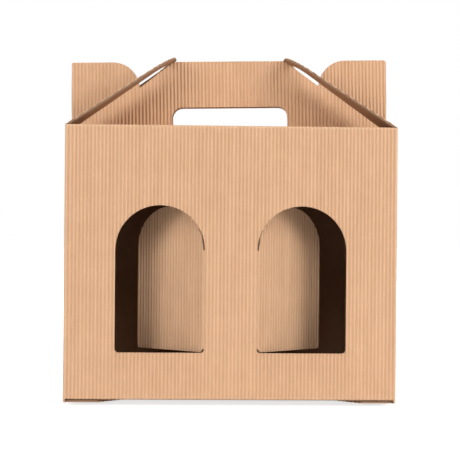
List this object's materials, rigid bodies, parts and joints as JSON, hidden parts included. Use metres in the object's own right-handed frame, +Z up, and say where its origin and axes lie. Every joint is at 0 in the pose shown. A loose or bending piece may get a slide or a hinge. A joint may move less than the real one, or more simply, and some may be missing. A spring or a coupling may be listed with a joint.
{
  "type": "jar shipping box",
  "caption": "Folded corrugated carrier box for jars, with arched push-in windows, a flat carry handle with hand hole, side ears and slotted roof flaps.",
  "frame": {"origin": "middle of the footprint, on the surface that the box stands on", "axes": "+Z up; the front wall with the windows faces -Y; +X is to the right of someone who faces the front wall"},
  "size_m": [0.216, 0.108, 0.2326],
  "materials": {
    "kraft_board": "matt brown kraft, open flutes outside, smooth liner inside"
  },
  "bodies": {
    "carton": {"carton": "kraft_board"},
    "left_roof_flap": {"left_roof_flap": "kraft_board"},
    "right_roof_flap": {"right_roof_flap": "kraft_board"},
    "left_window_flap": {"left_window_flap": "kraft_board"},
    "right_window_flap": {"right_window_flap": "kraft_board"}
  },
  "joints": [
    {"name": "left_roof_fold", "type": "hinge", "parent": "carton", "child": "left_roof_flap", "pos_m": [-0.108, 0, 0.1822], "axis": [0, -1, 0], "range_deg": [0, 210]},
    {"name": "right_roof_fold", "type": "hinge", "parent": "carton", "child": "right_roof_flap", "pos_m": [0.108, 0, 0.1822], "axis": [0, 1, 0], "range_deg": [0, 210]},
    {"name": "left_window_fold", "type": "hinge", "parent": "carton", "child": "left_window_flap", "pos_m": [-0.017, -0.0525, 0.067], "axis": [0, 0, -1], "range_deg": [-40.5, 49]},
    {"name": "right_window_fold", "type": "hinge", "parent": "carton", "child": "right_window_flap", "pos_m": [0.017, -0.0525, 0.067], "axis": [0, 0, 1], "range_deg": [-40.5, 49]}
  ]
}
